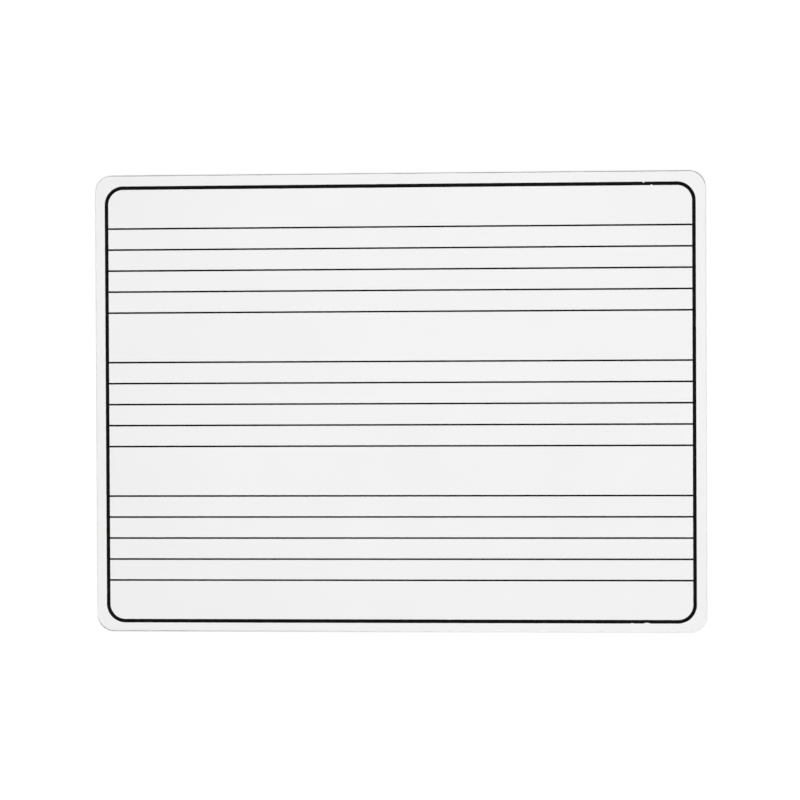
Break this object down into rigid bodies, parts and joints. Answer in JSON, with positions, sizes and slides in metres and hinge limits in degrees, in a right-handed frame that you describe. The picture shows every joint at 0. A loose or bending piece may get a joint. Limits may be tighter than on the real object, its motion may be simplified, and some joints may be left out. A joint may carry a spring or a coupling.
{
  "type": "music staff whiteboard",
  "caption": "Flat hand-held dry-erase board with round corners, a printed border rule and blank five-line music staves.",
  "frame": {"origin": "middle of the back face, on the surface the board lies on", "axes": "+X along the staves, towards the right of the writing face; +Y towards the head of the board; +Z out of the writing face"},
  "size_m": [0.3048, 0.2286, 0.0032],
  "materials": {
    "white_facing": "smooth white dry-erase film, low gloss",
    "hardboard": "cut edge of brown pressed-fibre hardboard, matt",
    "black_ink": "black screen-printed ink, satin"
  },
  "bodies": {
    "root": {"back_facing": "white_facing", "core_board": "hardboard", "front_facing": "white_facing", "border_rule": "black_ink", "staff_1_line_1": "black_ink", "staff_1_line_2": "black_ink", "staff_1_line_3": "black_ink", "staff_1_line_4": "black_ink", "staff_1_line_5": "black_ink", "staff_2_line_1": "black_ink", "staff_2_line_2": "black_ink", "staff_2_line_3": "black_ink", "staff_2_line_4": "black_ink", "staff_2_line_5": "black_ink", "staff_3_line_1": "black_ink", "staff_3_line_2": "black_ink", "staff_3_line_3": "black_ink", "staff_3_line_4": "black_ink", "staff_3_line_5": "black_ink"}
  },
  "joints": []
}
